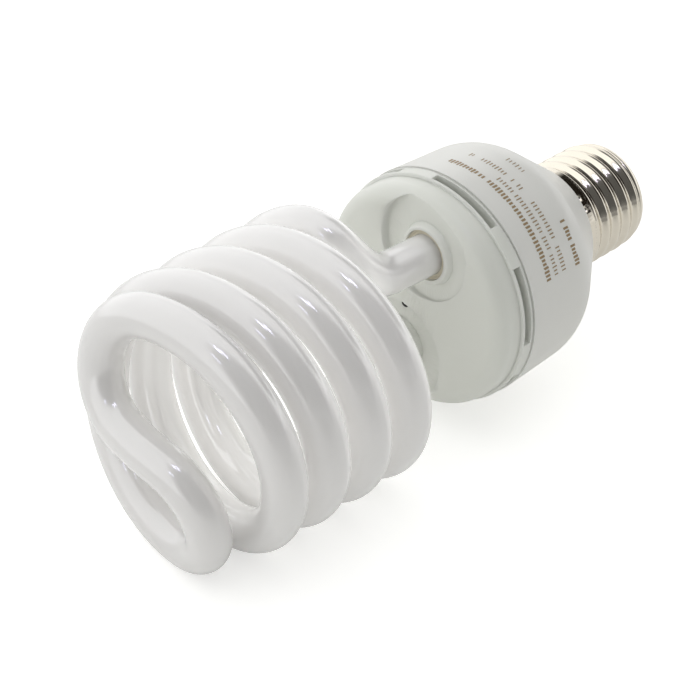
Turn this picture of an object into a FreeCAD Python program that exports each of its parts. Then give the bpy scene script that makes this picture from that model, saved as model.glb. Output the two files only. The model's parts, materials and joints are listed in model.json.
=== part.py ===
import FreeCAD, Part
import math
import os

# Spiral energy saving bulb, modelled lying along X in millimetres.
# X = 0 is the rim of the housing's neck, where the metal cap starts.
# The cap points to +X and the glass spiral to -X; +Z is up.

# Screw cap, medium size (26 mm)
SKIRT_R = 13.15
SKIRT_LEN = 3.2
SHELL_WALL = 0.35
CREST_R = 13.05
THREAD_DEPTH = 0.7
THREAD_PITCH = 3.629
THREAD_PHASE = -115.9
THREAD_LEN = 16.8
DOME_LEN = 2.2
DOME_DROP = 1.85
LIP_WIDTH = 1.6
GLASS_LEN = 2.6
GLASS_END_R = 6.2
CONTACT_R = 4.6
CONTACT_LEN = 1.0
ROOT_R = CREST_R - THREAD_DEPTH
THREAD_END = SKIRT_LEN + THREAD_LEN
SHELL_END = THREAD_END + DOME_LEN
SHELL_END_R = ROOT_R + 0.1 - DOME_DROP
CAP_BORE_R = SHELL_END_R - LIP_WIDTH
INSULATOR_END = SHELL_END + GLASS_LEN

# Housing cup
CUP_LEN = 34.5
MOUTH_R = 27.2
WALL_DRAFT = 0.9
SHOULDER_X = -15.1
SHOULDER_ROUND = 12.0
NECK_LIP = 1.65
CUP_WALL = 1.8
SKIRT_CLEAR = 0.2
BOSS_LEN = 8.4
BOSS_BORE_R = 10.2
LEDGE_LEN = 1.5
LEDGE_DEPTH = 2.0
GROOVE_X = -CUP_LEN
SHOULDER_R = MOUTH_R - WALL_DRAFT
NECK_R = SKIRT_R + NECK_LIP

# Front cover that holds the tube
COVER_LEN = 10.0
BAND_LEN = 3.5
BAND_STEP = 0.2
FRONT_STEP = 0.9
RIM_ROUND = 3.6
COVER_WALL = 2.2
INNER_ROUND = 0.8
JOINT_GAP = 0.4
JOINT_DEPTH = 0.5
SPIGOT_LEN = 3.9
SLOT_COUNT = 6
SLOT_ANGLE = 39.0
SLOT_MID = 107.4
SLOT_EDGE = 0.5
SLOT_WIDTH = 2.0
VENT_Y = 2.46
VENT_Z = -2.6
VENT_R = 0.9
FACE_X = GROOVE_X - COVER_LEN
STEP_X = GROOVE_X - BAND_LEN
BAND_R = MOUTH_R - BAND_STEP
FRONT_R = BAND_R - FRONT_STEP
SPIGOT_R = MOUTH_R - CUP_WALL
SLOT_NEAR = STEP_X + SLOT_EDGE
SLOT_FAR = SLOT_NEAR + SLOT_WIDTH

# Circuit board between the cup's ledge and the cover's spigot
BOARD_T = 1.6
BOARD_CLEAR = 0.3
BOARD_X = GROOVE_X + SPIGOT_LEN
BOARD_TOP = BOARD_X + BOARD_T

# Holes, collars and tilted pockets for the legs
LEG_ANGLE = 108.63
LEG_INSET = 2.38
HOLE_R = 5.8
COLLAR_WALL = 1.3
COLLAR_RISE = 0.8
COLLAR_FLARE = 0.8
COLLAR_DEEP = 5.5
CEMENT_DEEP = 2.9
POCKET_R = 12.2
PAD_REACH = 1.4
POCKET_SHIFT_Y = 1.2
POCKET_SHIFT_Z = 0.7
POCKET_TILT = 4.0
POCKET_TURN = 3.0
POCKET_DEPTH = 1.0
LEG_RADIUS = SPIGOT_R - CUP_WALL - HOLE_R - COLLAR_WALL - LEG_INSET

# Glass tube: double helix, one half turn every HALF_LEAD
TUBE_R = 4.7
COIL_R = 26.44
HALF_LEAD = 11.817
SPIRAL_LEN = 70.445
TIP_ANGLE = 82.68
LEAVE_TURN = -0.013
LEG_TURN = 3.849
CROSS_ANGLE = 14.24
CROSS_RISE = 6.755
LEG_LEAN_Y = -0.034
LEG_LEAN_Z = -0.017
LEG_REACH = 11.03
LEG_TAIL = 7.3
LEG_PULL_COIL = 17.25
LEG_PULL_LEG = 11.05
TIP_X = FACE_X - SPIRAL_LEN
CROSS_X = TIP_X - CROSS_RISE
LEG_START = FACE_X - LEG_REACH
LEG_END = FACE_X + LEG_TAIL
COLLAR_END = FACE_X + COLLAR_DEEP
CEMENT_START = FACE_X + CEMENT_DEEP

# Can that stands in the middle of the board
CAN_R = 8.0
CAN_LEN = 22.0
SEAL_LEN = 2.0
WIRE_R = 0.45
LEAD_R = 0.3

# Parts that stand round the can: how far out from it, and at what angle
RING_ROOM = 17.4
CHOKE_SPOT = (7.5, -90.0)
TOROID_SPOT = (9.36, 41.5)
RESONANCE_SPOT = (7.69, 157.5)
COUPLING_SPOT = (5.73, 100.5)
TRANSISTOR_SPOTS = ((9.0, -28.1), (11.93, -10.4))
DIODE_SPOTS = ((11.04, 203.2), (7.44, 209.05), (11.85, 220.9), (10.51, 231.6))
INPUT_CHOKE_SPOT = (11.65, 14.7)
RESISTOR_SPOTS = ((12.16, 113.4, 30), (12.74, 74.6, -10), (8.77, 63.4, 80), (11.5, 180.0, 0))
DIAC_SPOT = (9.1, -52.1)
POST_SPOTS = ((12.52, 124.1), (11.42, 78.1))
LIVE_SPOT = (5.12, 220.4)
NEUTRAL_SPOT = (2.69, -10.8)

# Sizes of those parts
CHOKE_LEN = 16.0
CHOKE_HIGH = 14.0
CHOKE_DEEP = 5.0
CHOKE_PLATE = 2.0
BOBBIN_SKIN = 0.7
WINDING_BUILD = 2.2
FLANGE_LIP = 0.2
FLANGE_T = 0.8
TOROID_R = 4.6
TOROID_HOLE = 2.4
TOROID_LEN = 4.0
TOROID_LIFT = 0.5
FUSE_LEN = 7.5
FUSE_R = 1.6
DRUM_LEN = 8.0
DRUM_R = 3.2
DRUM_CORE_R = 1.8
DRUM_CHEEK = 1.0
POST_LEN = 5.0
POST_WIDTH = 0.9

# Punches that lock the skirt to the boss
PUNCH_ANGLES = (131.3, 143.6)
PUNCH_X = 1.37
PUNCH_R = 1.0
PUNCH_DEPTH = 0.45

V = FreeCAD.Vector
AXIS = V(1, 0, 0)
CENTRE = V(0, 0, 0)
PARTS = "parts"


def turned(points):
    """Solid of revolution about X from a list of (x, radius) points."""
    corners = [V(x, r, 0) for x, r in points]
    face = Part.Face(Part.makePolygon(corners + [corners[0]]))
    return face.revolve(CENTRE, AXIS, 360)


def rod(x0, x1, radius, y=0.0, z=0.0):
    """Plain cylinder along X between two stations."""
    return Part.makeCylinder(radius, x1 - x0, V(x0, y, z), AXIS)


def block(x0, x1, y, z, width_y, width_z):
    """Box between two X stations, centred on (y, z)."""
    corner = V(x0, y - width_y / 2, z - width_z / 2)
    return Part.makeBox(x1 - x0, width_y, width_z, corner)


def rounded(shape, picks, size):
    """Fillet the circular edges that lie at the given (x, radius) places."""
    chosen = []
    for edge in shape.Edges:
        if not isinstance(edge.Curve, Part.Circle):
            continue
        for x, r in picks:
            near_x = abs(edge.Curve.Center.x - x) < 0.05
            near_r = abs(edge.Curve.Radius - r) < 0.05
            if near_x and near_r:
                chosen.append(edge)
                break
    return shape.makeFillet(size, chosen)


def turn_about_axis(shape, degrees):
    """Copy of a shape turned about the lamp's axis."""
    other = shape.copy()
    other.rotate(CENTRE, AXIS, degrees)
    return other


def on_circle(x, radius, degrees):
    """Point at a radius and an angle about the lamp's axis."""
    a = math.radians(degrees)
    return V(x, radius * math.cos(a), radius * math.sin(a))


def arc_or_line(p, q, r):
    """Edge through three points, straight where they are in line."""
    bow = (q - p).cross(r - p).Length / (r - p).Length
    if bow < 0.003:
        return Part.LineSegment(p, r).toShape()
    return Part.Arc(p, q, r).toShape()


def swept(point_at, stations, radius):
    """Round bar along three-point arcs through the stations of a path."""
    edges = []
    for a, b in zip(stations[:-1], stations[1:]):
        edges.append(arc_or_line(point_at(a), point_at((a + b) / 2), point_at(b)))
    path = Part.Wire(edges)
    first = edges[0]
    start = first.valueAt(first.FirstParameter)
    ring = Part.Circle(start, first.tangentAt(first.FirstParameter), radius)
    profile = Part.Wire([ring.toShape()])
    return path.makePipeShell([profile], True, False)


def thin_wire(points, radius):
    """Bent wire through a few points."""
    curve = Part.BSplineCurve()
    curve.interpolate(points)
    low = curve.FirstParameter
    high = curve.LastParameter
    count = 3 * (len(points) - 1)
    stations = [low + (high - low) * i / count for i in range(count + 1)]
    return swept(curve.value, stations, radius)


def leg_axis(x):
    """Point on the first leg's axis at station x."""
    d = x - FACE_X
    p = on_circle(x, LEG_RADIUS, LEG_ANGLE)
    return p + V(0, LEG_LEAN_Y * d, LEG_LEAN_Z * d)


def leg_direction():
    """Unit direction of the first leg, towards the housing."""
    d = V(1, LEG_LEAN_Y, LEG_LEAN_Z)
    return d.normalize()


def both_legs(shape):
    """The shape and its copy for the second leg."""
    return [shape, turn_about_axis(shape, 180)]


def coil_point(turn):
    """Point of the first arm; turn counts half turns from the tip."""
    return on_circle(TIP_X + HALF_LEAD * turn, COIL_R, TIP_ANGLE + 180 * turn)


def coil_tangent(turn):
    """Unit direction of the first arm, towards the housing."""
    a = math.radians(TIP_ANGLE + 180 * turn)
    run = COIL_R * math.pi
    d = V(HALF_LEAD, -run * math.sin(a), run * math.cos(a))
    return d.normalize()


def crossing_plan():
    """Bend radius, its centre's distance and the straight run of the tip."""
    swing = math.radians(TIP_ANGLE + 180 * LEAVE_TURN - CROSS_ANGLE)
    bend = COIL_R * math.sin(swing) / (1 + math.sin(swing))
    reach = COIL_R - bend
    return bend, reach, reach * math.cos(swing), swing


def crossing_point(u):
    """Point of the tip, u = 0 where it leaves the coil, 1 on the axis."""
    bend, reach, straight, swing = crossing_plan()
    arc_len = bend * (swing + math.pi / 2)
    total = arc_len + straight
    s = u * total
    if s < arc_len:
        a = swing - s / bend
        run = reach * math.cos(swing) + bend * math.cos(a)
        side = reach * math.sin(swing) + bend * math.sin(a)
    else:
        run = total - s
        side = 0.0
    along = math.radians(CROSS_ANGLE)
    y = run * math.cos(along) - side * math.sin(along)
    z = run * math.sin(along) + side * math.cos(along)
    x0 = TIP_X + HALF_LEAD * LEAVE_TURN
    slope = -HALF_LEAD / (COIL_R * math.pi) * total
    ease = u * u * (3 - 2 * u)
    x = x0 * (1 - ease) + slope * u * (1 - u) ** 2 + CROSS_X * ease
    return V(x, y, z)


def leg_bend_point(u):
    """Point of the bend between the coil (0) and the straight leg (1)."""
    p0 = coil_point(LEG_TURN)
    p3 = leg_axis(LEG_START)
    p1 = p0 + coil_tangent(LEG_TURN) * LEG_PULL_COIL
    p2 = p3 - leg_direction() * LEG_PULL_LEG
    w = 1 - u
    outer = p0 * w ** 3 + p3 * u ** 3
    return outer + p1 * (3 * w * w * u) + p2 * (3 * w * u * u)


def arm_point(t):
    """First arm: 0..1 tip, 1..2 coil, 2..3 leg bend, 3..4 straight leg."""
    if t <= 1:
        return crossing_point(1 - t)
    if t <= 2:
        return coil_point(LEAVE_TURN + (LEG_TURN - LEAVE_TURN) * (t - 1))
    if t <= 3:
        return leg_bend_point(t - 2)
    return leg_axis(LEG_START + (LEG_END - LEG_START) * (t - 3))


def spread(a, b, count):
    """Even stations from a to b, without a."""
    return [a + (b - a) * (i + 1) / count for i in range(count)]


def make_spiral_tube():
    """The whole glass tube: two arms that meet on the axis at the tip."""
    coil_arcs = int(math.ceil(3.5 * (LEG_TURN - LEAVE_TURN)))
    stations = [0.0] + spread(0, 1, 8) + spread(1, 2, coil_arcs)
    stations += spread(2, 3, 6)
    stations += [4.0]

    def whole(t):
        if t >= 0:
            return arm_point(t)
        p = arm_point(-t)
        return V(p.x, -p.y, -p.z)

    mirror = [-t for t in reversed(stations[1:])]
    return swept(whole, mirror + stations, TUBE_R)


def pocket_frame():
    """Placement that puts local Z along the pocket floor's normal."""
    turn = FreeCAD.Rotation(V(0, 0, 1), V(-1, 0, 0))
    a = math.radians(POCKET_TURN + 90)
    hinge = V(0, math.cos(a), math.sin(a))
    tilt = FreeCAD.Rotation(hinge, -POCKET_TILT)
    centre = leg_axis(FACE_X)
    centre += V(POCKET_DEPTH, POCKET_SHIFT_Y, POCKET_SHIFT_Z)
    return FreeCAD.Placement(centre, tilt.multiply(turn))


def cover_outside():
    """Outer form of the cover, without holes."""
    neck = BAND_R - JOINT_DEPTH
    joint = GROOVE_X - JOINT_GAP
    body = turned([
        (FACE_X, 0), (FACE_X, FRONT_R), (STEP_X, FRONT_R),
        (STEP_X, BAND_R), (joint, BAND_R), (joint, neck),
        (GROOVE_X, neck), (GROOVE_X, SPIGOT_R), (BOARD_X, SPIGOT_R),
        (BOARD_X, 0)])
    body = rounded(body, [(FACE_X, FRONT_R)], RIM_ROUND)
    return rounded(body, [(STEP_X, BAND_R)], 0.35)


def make_tube_holder():
    """Front cover: rim, slots, tilted pockets, collars and leg holes."""
    outside = cover_outside()
    inner_r = SPIGOT_R - CUP_WALL
    inner_x = FACE_X + COVER_WALL
    hollow = turned([
        (inner_x, 0), (inner_x, inner_r), (BOARD_X + 1, inner_r),
        (BOARD_X + 1, 0)])
    hollow = rounded(hollow, [(inner_x, inner_r)], INNER_ROUND)
    body = outside.cut(hollow)
    frame = pocket_frame()
    pad = Part.makeCylinder(POCKET_R + PAD_REACH, CUP_WALL + 0.2)
    pad.translate(V(0, 0, -CUP_WALL - 0.2))
    pad.Placement = frame.multiply(pad.Placement)
    pocket = Part.makeCylinder(POCKET_R, 12)
    pocket.Placement = frame
    leg = leg_direction()
    for shape in both_legs(pad.common(outside)):
        body = body.fuse(shape)
    for shape in both_legs(pocket):
        body = body.cut(shape)
    for shape in both_legs(collar_form()):
        body = body.fuse(shape)
    hole = Part.makeCylinder(HOLE_R, 14, leg_axis(FACE_X - 4), leg)
    for shape in both_legs(hole):
        body = body.cut(shape)
    for shape in slot_cutters(inner_r - 1, BAND_R + 1):
        body = body.cut(shape)
    body = body.cut(rod(FACE_X - 1, inner_x + 5, VENT_R, VENT_Y, VENT_Z))
    return body.removeSplitter()


def collar_form():
    """Flared collar round a leg, rounded at its open end, without its bore."""
    rim = HOLE_R + COLLAR_WALL * 0.7
    outer = HOLE_R + COLLAR_WALL
    top = FACE_X - COLLAR_RISE
    floor = FACE_X + POCKET_DEPTH + COVER_WALL * 0.4
    foot = outer + COLLAR_FLARE
    shift = top - FACE_X
    profile = turned([
        (0, 0), (0, rim - 0.45), (0.12, rim - 0.15), (0.45, rim),
        ((floor - top) * 0.55, outer + 0.1), (floor - top - 0.7, foot - 0.7),
        (floor - top, foot), (floor - top, outer), (COLLAR_END - top, outer),
        (COLLAR_END - top, 0)])
    lean = FreeCAD.Rotation(AXIS, leg_direction())
    profile.Placement = FreeCAD.Placement(leg_axis(FACE_X + shift), lean)
    return profile


def slot_cutters(r0, r1):
    """Curved slots round the cover's band."""
    a = V(SLOT_NEAR, r0, 0)
    b = V(SLOT_FAR, r0, 0)
    c = V(SLOT_FAR, r1, 0)
    d = V(SLOT_NEAR, r1, 0)
    face = Part.Face(Part.makePolygon([a, b, c, d, a]))
    slot = face.revolve(CENTRE, AXIS, SLOT_ANGLE)
    pitch = 360.0 / SLOT_COUNT
    first = SLOT_MID - SLOT_ANGLE / 2
    return [turn_about_axis(slot, first + pitch * i) for i in range(SLOT_COUNT)]


def boss_radius():
    """Radius of the cup's boss inside the cap's skirt."""
    return SKIRT_R - SHELL_WALL - SKIRT_CLEAR


def make_housing_cup():
    """Rear shell: wall, round shoulder, cone, neck boss and board ledge."""
    slope = (SHOULDER_R - NECK_R) / -SHOULDER_X
    cone_wall = CUP_WALL * math.sqrt(1 + slope * slope)
    boss = boss_radius()
    thread_boss = ROOT_R - SHELL_WALL - 0.3
    outside = turned([
        (GROOVE_X, 0), (GROOVE_X, MOUTH_R), (SHOULDER_X, SHOULDER_R),
        (0, NECK_R), (0, boss), (SKIRT_LEN - 0.3, boss),
        (SKIRT_LEN, thread_boss), (BOSS_LEN, thread_boss), (BOSS_LEN, 0)])
    outside = rounded(outside, [(SHOULDER_X, SHOULDER_R)], SHOULDER_ROUND)
    outside = rounded(outside, [(0, NECK_R)], 0.8)
    inner_mouth = MOUTH_R - CUP_WALL
    inner_shoulder = SHOULDER_R - CUP_WALL
    bend = SHOULDER_X - 0.4
    web = -1.2 * CUP_WALL
    cone_end = web - CUP_WALL
    cone_r = NECK_R - slope * cone_end - cone_wall
    hollow = turned([
        (GROOVE_X - 1, 0), (GROOVE_X - 1, inner_mouth),
        (BOARD_X + BOARD_T, inner_mouth),
        (bend, inner_shoulder), (cone_end, cone_r), (web, BOSS_BORE_R),
        (BOSS_LEN + 1, BOSS_BORE_R), (BOSS_LEN + 1, 0)])
    hollow = rounded(hollow, [(bend, inner_shoulder)], SHOULDER_ROUND - CUP_WALL)
    ledge_x = BOARD_X + BOARD_T
    ledge = turned([
        (ledge_x, inner_mouth - LEDGE_DEPTH), (ledge_x, inner_mouth + 0.5),
        (ledge_x + LEDGE_LEN, inner_mouth + 0.5),
        (ledge_x + LEDGE_LEN, inner_mouth - LEDGE_DEPTH)])
    body = outside.cut(hollow).fuse(ledge)
    for shape in punch_marks():
        body = body.cut(shape)
    return body.removeSplitter()


def punch_marks():
    """Round-ended punches that lock the skirt to the boss."""
    marks = []
    for angle in PUNCH_ANGLES + tuple(a + 180 for a in PUNCH_ANGLES):
        outer = SKIRT_R + PUNCH_R - PUNCH_DEPTH
        marks.append(Part.makeSphere(PUNCH_R, on_circle(PUNCH_X, outer, angle)))
    return marks


def thread_radius(x, degrees):
    """Outer radius of the rolled thread."""
    start = SKIRT_LEN - 0.1
    end = THREAD_END
    u = (x - start) / (end - start)
    ramp_in = min(1.0, max(0.0, (x - start) / (0.35 * THREAD_PITCH)))
    ramp_out = min(1.0, max(0.0, (end - x) / (0.5 * THREAD_PITCH)))
    ease_in = ramp_in * ramp_in * (3 - 2 * ramp_in)
    ease_out = ramp_out * ramp_out * (3 - 2 * ramp_out)
    mid = (CREST_R + ROOT_R) / 2
    base = CREST_R + (mid - CREST_R) * ease_in
    base += (ROOT_R + 0.1 - mid) * (1 - ease_out)
    wind = math.radians(degrees + THREAD_PHASE)
    wave = math.cos(2 * math.pi * x / THREAD_PITCH - wind)
    return base + (CREST_R - mid) * wave * ease_in * ease_out


def thread_sheet(inset):
    """Surface of the thread, set in by a wall thickness."""
    start = SKIRT_LEN - 0.1
    rows = int(round((THREAD_END - start) / THREAD_PITCH * 8)) + 1
    columns = 25
    grid = []
    for i in range(rows):
        x = start + (THREAD_END - start) * i / (rows - 1)
        line = []
        for j in range(columns):
            angle = 360.0 * (j % (columns - 1)) / (columns - 1)
            line.append(on_circle(x, thread_radius(x, angle) - inset, angle))
        grid.append(line)
    sheet = Part.BSplineSurface()
    sheet.interpolate(grid)
    return sheet.toShape()


def make_thread_body():
    """Closed solid of the rolled thread's wall."""
    outer = thread_sheet(0.0)
    inner = thread_sheet(SHELL_WALL)
    faces = [outer, inner]
    for x in (SKIRT_LEN - 0.1, THREAD_END):
        outer_edge = end_ring(outer, x)
        inner_edge = end_ring(inner, x)
        big = Part.Face(outer_edge)
        small = Part.Face(inner_edge)
        faces.append(big.cut(small).Faces[0])
    shell = Part.makeShell(faces)
    shell.sewShape()
    solid = Part.makeSolid(shell)
    if solid.Volume < 0:
        solid.reverse()
    return solid


def end_ring(sheet, x):
    """Closed edge of a sheet at station x."""
    for edge in sheet.Edges:
        box = edge.BoundBox
        if box.XLength < 0.01 and abs(box.XMin - x) < 0.01:
            return Part.Wire([edge])
    raise ValueError("no ring at the thread's end")


def make_screw_shell():
    """Metal cap: plain skirt, rolled thread and domed end."""
    overlap = SKIRT_LEN - 0.1
    skirt_in = boss_radius()
    skirt = turned([
        (0, skirt_in), (0, SKIRT_R), (SKIRT_LEN, SKIRT_R),
        (SKIRT_LEN, CREST_R - SHELL_WALL - 0.1),
        (overlap - 0.2, CREST_R - SHELL_WALL - 0.1), (overlap - 0.2, skirt_in)])
    body = skirt.fuse(make_thread_body())
    dome = dome_wall()
    body = body.fuse(dome)
    for shape in punch_marks():
        dent = shape.common(rod(0, SKIRT_LEN, SKIRT_R + 1))
        body = body.cut(dent)
    return body.removeSplitter()


def dome_wall():
    """Domed end of the cap, with a lip that holds the insulator."""
    r0 = ROOT_R + 0.1
    r1 = SHELL_END_R
    x0 = THREAD_END - 0.15
    x1 = SHELL_END
    outer = Part.Arc(
        V(x0, r0 + 0.05, 0),
        V(x0 + (x1 - x0) * 0.6, r0 - DOME_DROP * 0.2, 0),
        V(x1, r1, 0))
    inset = SHELL_WALL + 0.1
    inner = Part.Arc(
        V(x1 - inset, r1 - inset, 0),
        V(x0 + (x1 - x0) * 0.45, r0 - inset - DOME_DROP * 0.15, 0),
        V(x0, r0 - inset, 0))
    lip_a = V(x1, CAP_BORE_R, 0)
    lip_b = V(x1 - inset, CAP_BORE_R, 0)
    edges = [
        outer.toShape(),
        Part.LineSegment(V(x1, r1, 0), lip_a).toShape(),
        Part.LineSegment(lip_a, lip_b).toShape(),
        Part.LineSegment(lip_b, V(x1 - inset, r1 - inset, 0)).toShape(),
        inner.toShape(),
        Part.LineSegment(V(x0, r0 - inset, 0), V(x0, r0 + 0.05, 0)).toShape()]
    return Part.Face(Part.Wire(edges)).revolve(CENTRE, AXIS, 360)


def make_cap_insulator():
    """Pressed glass cone that carries the centre contact."""
    lip = SHELL_END - SHELL_WALL - 0.1
    flange = (CAP_BORE_R + SHELL_END_R - SHELL_WALL) / 2
    body = turned([
        (lip - 1.2, 3.0), (lip - 1.2, flange), (lip, flange), (lip, CAP_BORE_R),
        (SHELL_END, CAP_BORE_R), (INSULATOR_END, GLASS_END_R),
        (INSULATOR_END, 1.2), (lip, 1.2)])
    return rounded(body, [(INSULATOR_END, GLASS_END_R)], 0.6)


def make_centre_contact():
    """Contact disc with its domed solder point."""
    disc = rod(INSULATOR_END, INSULATOR_END + CONTACT_LEN, CONTACT_R)
    disc = rounded(disc, [(INSULATOR_END + CONTACT_LEN, CONTACT_R)], 0.5)
    dome_r = 3.4
    centre = V(INSULATOR_END + CONTACT_LEN + 0.75 - dome_r, 0, 0)
    dome = Part.makeSphere(dome_r, centre)
    dome = dome.common(rod(INSULATOR_END + 0.4, INSULATOR_END + 4, CONTACT_R))
    pin = rod(SHELL_END, INSULATOR_END + 0.2, 1.2)
    return disc.fuse(dome).fuse(pin).removeSplitter()


def make_leg_cement():
    """Silicone ring round each leg, inside its collar."""
    leg = leg_direction()
    start = leg_axis(CEMENT_START)
    length = COLLAR_END - CEMENT_START
    ring = Part.makeCylinder(HOLE_R, length, start, leg)
    bore = Part.makeCylinder(TUBE_R, length + 2, leg_axis(CEMENT_START - 1), leg)
    return Part.makeCompound(both_legs(ring.cut(bore)))


def make_circuit_board():
    """Round board with three locating notches in its rim."""
    radius = MOUTH_R - CUP_WALL - BOARD_CLEAR
    board = rod(BOARD_X, BOARD_X + BOARD_T, radius)
    notch = rod(BOARD_X - 1, BOARD_X + BOARD_T + 1, 1.2, radius, 0)
    for turn in (40, 160, 280):
        board = board.cut(turn_about_axis(notch, turn))
    return board


def ring_scale():
    """Share of the laid-out room that the housing leaves round the can."""
    return (SPIGOT_R - CAN_R) / RING_ROOM


def spot(place):
    """Y and Z on the board of an (out from the can, angle) place."""
    p = on_circle(0, CAN_R + place[0] * ring_scale(), place[1])
    return p.y, p.z


def make_choke_core():
    """Pair of ferrite E cores that meet round the bobbin."""
    top = BOARD_TOP + CHOKE_HIGH
    y, z = spot(CHOKE_SPOT)
    length = CHOKE_LEN * ring_scale()
    deep = CHOKE_DEEP * ring_scale()
    core = block(BOARD_TOP, top, y, z, length, deep)
    window = (CHOKE_HIGH - 2 * CHOKE_PLATE - 4.0) / 2
    span = length - 2 * CHOKE_PLATE
    low = BOARD_TOP + CHOKE_PLATE
    core = core.cut(block(low, low + window, y, z, span, deep + 2))
    high = top - CHOKE_PLATE
    return core.cut(block(high - window, high, y, z, span, deep + 2))


def choke_tube(y_len, grow):
    """Box round the choke's centre leg, larger by grow on each side."""
    mid = BOARD_TOP + CHOKE_HIGH / 2
    half = 2.0 + grow
    y, z = spot(CHOKE_SPOT)
    deep = CHOKE_DEEP * ring_scale() + 2 * grow
    return block(mid - half, mid + half, y, z, y_len, deep)


def make_choke_bobbin():
    """Moulded bobbin: a sleeve with two flanges."""
    length = CHOKE_LEN * ring_scale()
    span = length - 2 * CHOKE_PLATE
    sleeve = choke_tube(span, BOBBIN_SKIN)
    y, z = spot(CHOKE_SPOT)
    build = BOBBIN_SKIN + WINDING_BUILD + FLANGE_LIP / 2
    deep = CHOKE_DEEP * ring_scale() + 2 * build
    mid = BOARD_TOP + CHOKE_HIGH / 2
    reach = CHOKE_HIGH / 2 - CHOKE_PLATE
    for side in (-1, 1):
        place = y + side * (span - FLANGE_T) / 2
        flange = block(mid - reach, mid + reach, place, z, FLANGE_T, deep)
        sleeve = sleeve.fuse(flange)
    return sleeve.cut(choke_tube(length + 2, 0)).removeSplitter()


def make_choke_winding():
    """Copper winding between the bobbin's flanges."""
    length = CHOKE_LEN * ring_scale() - 2 * CHOKE_PLATE - 2 * FLANGE_T
    outer = choke_tube(length, BOBBIN_SKIN + WINDING_BUILD)
    long_edges = [e for e in outer.Edges if abs(e.Length - length) < 0.001]
    outer = outer.makeFillet(1.2, long_edges)
    return outer.cut(choke_tube(length + 2, BOBBIN_SKIN))


def make_drive_toroid():
    """Ferrite ring of the driving transformer."""
    low = BOARD_TOP + TOROID_LIFT
    y, z = spot(TOROID_SPOT)
    outer = TOROID_R * ring_scale()
    hole = TOROID_HOLE * ring_scale()
    ring = rod(low, low + TOROID_LEN, outer, y, z)
    return ring.cut(rod(low - 1, low + TOROID_LEN + 1, hole, y, z))


def make_toroid_windings():
    """Three short windings wrapped on the ring."""
    low = BOARD_TOP
    high = low + TOROID_LEN + 2 * TOROID_LIFT
    mid_r = (TOROID_R + TOROID_HOLE) / 2 * ring_scale()
    width = (TOROID_R - TOROID_HOLE) * ring_scale() + 2 * TOROID_LIFT
    band = Part.makeBox(high - low, width, 2.0, V(low, mid_r - width / 2, -1.0))
    ring = make_drive_toroid()
    y, z = spot(TOROID_SPOT)
    bands = []
    for turn in (90, 210, 330):
        piece = turn_about_axis(band, turn)
        piece.translate(V(0, y, z))
        bands.append(piece.cut(ring))
    return Part.makeCompound(bands)


def make_bulk_capacitor():
    """Aluminium can that stands in the neck, with its rolled waist."""
    low = BOARD_TOP + SEAL_LEN
    top = low + CAN_LEN
    can = turned([
        (low, 0), (low, CAN_R), (low + 1.6, CAN_R), (low + 2.1, CAN_R - 0.6),
        (low + 2.6, CAN_R), (top, CAN_R), (top, 0)])
    can = rounded(can, [(top, CAN_R)], 0.8)
    cross = block(top - 0.25, top + 1, 0, 0, 10, 0.6)
    can = can.cut(cross)
    return can.cut(turn_about_axis(cross, 90))


def make_bulk_capacitor_seal():
    """Rubber end plug between the can and the board."""
    return rod(BOARD_TOP, BOARD_TOP + SEAL_LEN, CAN_R - 0.6)


def film_capacitor(place, width, depth, height):
    """Dipped film capacitor with rounded edges."""
    y, z = spot(place)
    width *= ring_scale()
    depth *= ring_scale()
    body = block(BOARD_TOP, BOARD_TOP + height, y, z, width, depth)
    upright = [e for e in body.Edges if abs(e.Length - height) < 0.001]
    return body.makeFillet(min(width, depth) * 0.3, upright)


def make_resonance_capacitor():
    """Film capacitor across the tube."""
    return film_capacitor(RESONANCE_SPOT, 5.0, 11.0, 10.0)


def make_coupling_capacitor():
    """Film capacitor in series with the tube."""
    return film_capacitor(COUPLING_SPOT, 10.0, 5.0, 9.0)


def transistor(place):
    """Flat power transistor on three short legs."""
    y, z = spot(place)
    k = ring_scale()
    low = BOARD_TOP + 2.5
    body = block(low, low + 10.5, y, z, 3.0 * k, 7.6 * k)
    screw = Part.makeCylinder(1.5 * k, 4 * k, V(low + 7.6, y - 2 * k, z), V(0, 1, 0))
    body = body.cut(screw)
    for dz in (-2.3, 0.0, 2.3):
        body = body.fuse(block(BOARD_TOP, low + 0.5, y, z + dz * k, 0.5, 0.8))
    return body


def make_switch_transistors():
    """The two power transistors of the half bridge."""
    return Part.makeCompound([transistor(place) for place in TRANSISTOR_SPOTS])


def lying_part(place, length, radius, turn):
    """Small axial part that lies on the board with two bent leads."""
    length *= ring_scale()
    radius *= ring_scale()
    mid = BOARD_TOP + radius
    body = Part.makeCylinder(radius, length, V(mid, -length / 2, 0), V(0, 1, 0))
    for side in (-1, 1):
        reach = side * (length / 2 + 0.8)
        edge = min(reach, reach - side * 1.3)
        stub = Part.makeBox(0.5, 1.3, 0.5, V(mid - 0.25, edge, -0.25))
        foot = block(BOARD_TOP, mid + 0.25, reach - side * 0.25, 0, 0.5, 0.5)
        body = body.fuse(stub).fuse(foot)
    body = turn_about_axis(body, turn)
    y, z = spot(place)
    body.translate(V(0, y, z))
    return body


def make_rectifier_diodes():
    """Four diodes of the bridge."""
    return Part.makeCompound([lying_part(p, 4.2, 1.3, 60) for p in DIODE_SPOTS])


def make_input_choke():
    """Drum core of the mains filter."""
    y, z = spot(INPUT_CHOKE_SPOT)
    k = ring_scale()
    low = BOARD_TOP
    high = low + DRUM_LEN
    drum = rod(low, high, DRUM_CORE_R * k, y, z)
    for x in (low, high - DRUM_CHEEK):
        drum = drum.fuse(rod(x, x + DRUM_CHEEK, DRUM_R * k, y, z))
    return drum.removeSplitter()


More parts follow.
